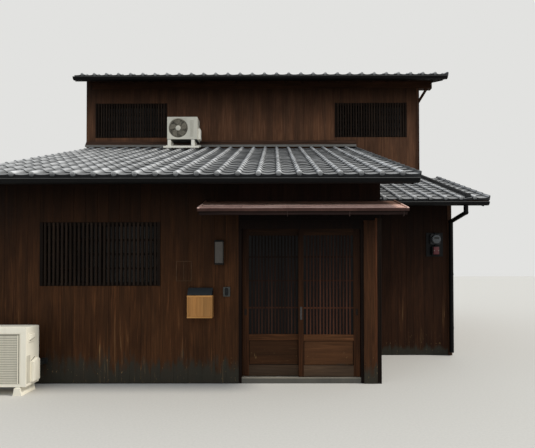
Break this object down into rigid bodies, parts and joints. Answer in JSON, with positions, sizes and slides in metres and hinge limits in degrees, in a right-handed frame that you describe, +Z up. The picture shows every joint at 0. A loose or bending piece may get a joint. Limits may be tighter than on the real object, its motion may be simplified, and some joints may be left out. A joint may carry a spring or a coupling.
{
  "type": "machiya townhouse",
  "caption": "Traditional timber townhouse with a low front block under a deep pantiled roof, a set-back upper storey and a sliding lattice entrance door.",
  "frame": {"origin": "on the ground, in the middle of the plan of the walls", "axes": "+X to the right seen from the street, +Y from the street into the house, +Z up"},
  "size_m": [8.09, 10.632, 7.4664],
  "materials": {
    "plaster": "matte",
    "dark_boards": "stained",
    "brown_boards": "weathered",
    "dark_timber": "stained",
    "roof_boards": "weathered",
    "floor": "matte",
    "roof_tile": "fired clay, satin",
    "flashing": "weathered",
    "gutter_metal": "satin",
    "canopy_sheet": "weathered copper",
    "glass": "frosted",
    "sill_stone": "worn stone",
    "lamp_metal": "satin",
    "box_wood": "varnished",
    "phone_case": "satin",
    "meter_case": "satin",
    "unit_case": "satin"
  },
  "bodies": {
    "house": {"floor_slab": "floor", "left_party_wall": "plaster", "right_side_wall": "brown_boards", "entrance_side_wall": "dark_boards", "front_wall": "dark_boards", "wall_over_door": "dark_boards", "wing_wall": "dark_boards", "recessed_wall": "dark_boards", "back_wall": "brown_boards", "upper_front_wall": "brown_boards", "upper_floor": "floor", "beams": "dark_timber", "main_rafters": "dark_timber", "main_deck": "roof_boards", "main_tiles": "roof_tile", "right_rafters": "dark_timber", "right_deck": "roof_boards", "right_tiles": "roof_tile", "upper_rafters": "dark_timber", "upper_deck": "roof_boards", "upper_tiles": "roof_tile", "ridge": "roof_tile", "strut": "dark_timber", "verge_boards": "dark_timber", "upper_verge_boards": "dark_timber", "eave_boards": "dark_timber", "wall_flashing": "flashing", "lower_gutters": "gutter_metal", "upper_gutters": "gutter_metal", "downpipe": "gutter_metal", "canopy": "canopy_sheet", "canopy_frame": "dark_timber", "lower_lattice": "dark_timber", "upper_lattices": "dark_timber", "back_lattices": "dark_timber", "window_frames": "dark_timber", "window_glass": "glass", "door_frame": "dark_timber", "door_sill": "sill_stone", "lamp": "lamp_metal", "mailbox": "box_wood", "door_phone": "phone_case", "meter_board": "meter_case", "roof_condenser": "unit_case", "yard_condenser": "unit_case"},
    "left_leaf": {"left_leaf": "dark_timber", "left_glass": "glass"},
    "right_leaf": {"right_leaf": "dark_timber", "right_glass": "glass"}
  },
  "joints": [
    {"name": "left_leaf_slide", "type": "slide", "parent": "house", "child": "left_leaf", "axis": [1, 0, 0], "range_m": [0, 0.806]},
    {"name": "right_leaf_slide", "type": "slide", "parent": "house", "child": "right_leaf", "axis": [-1, 0, 0], "range_m": [0, 0.806]}
  ]
}
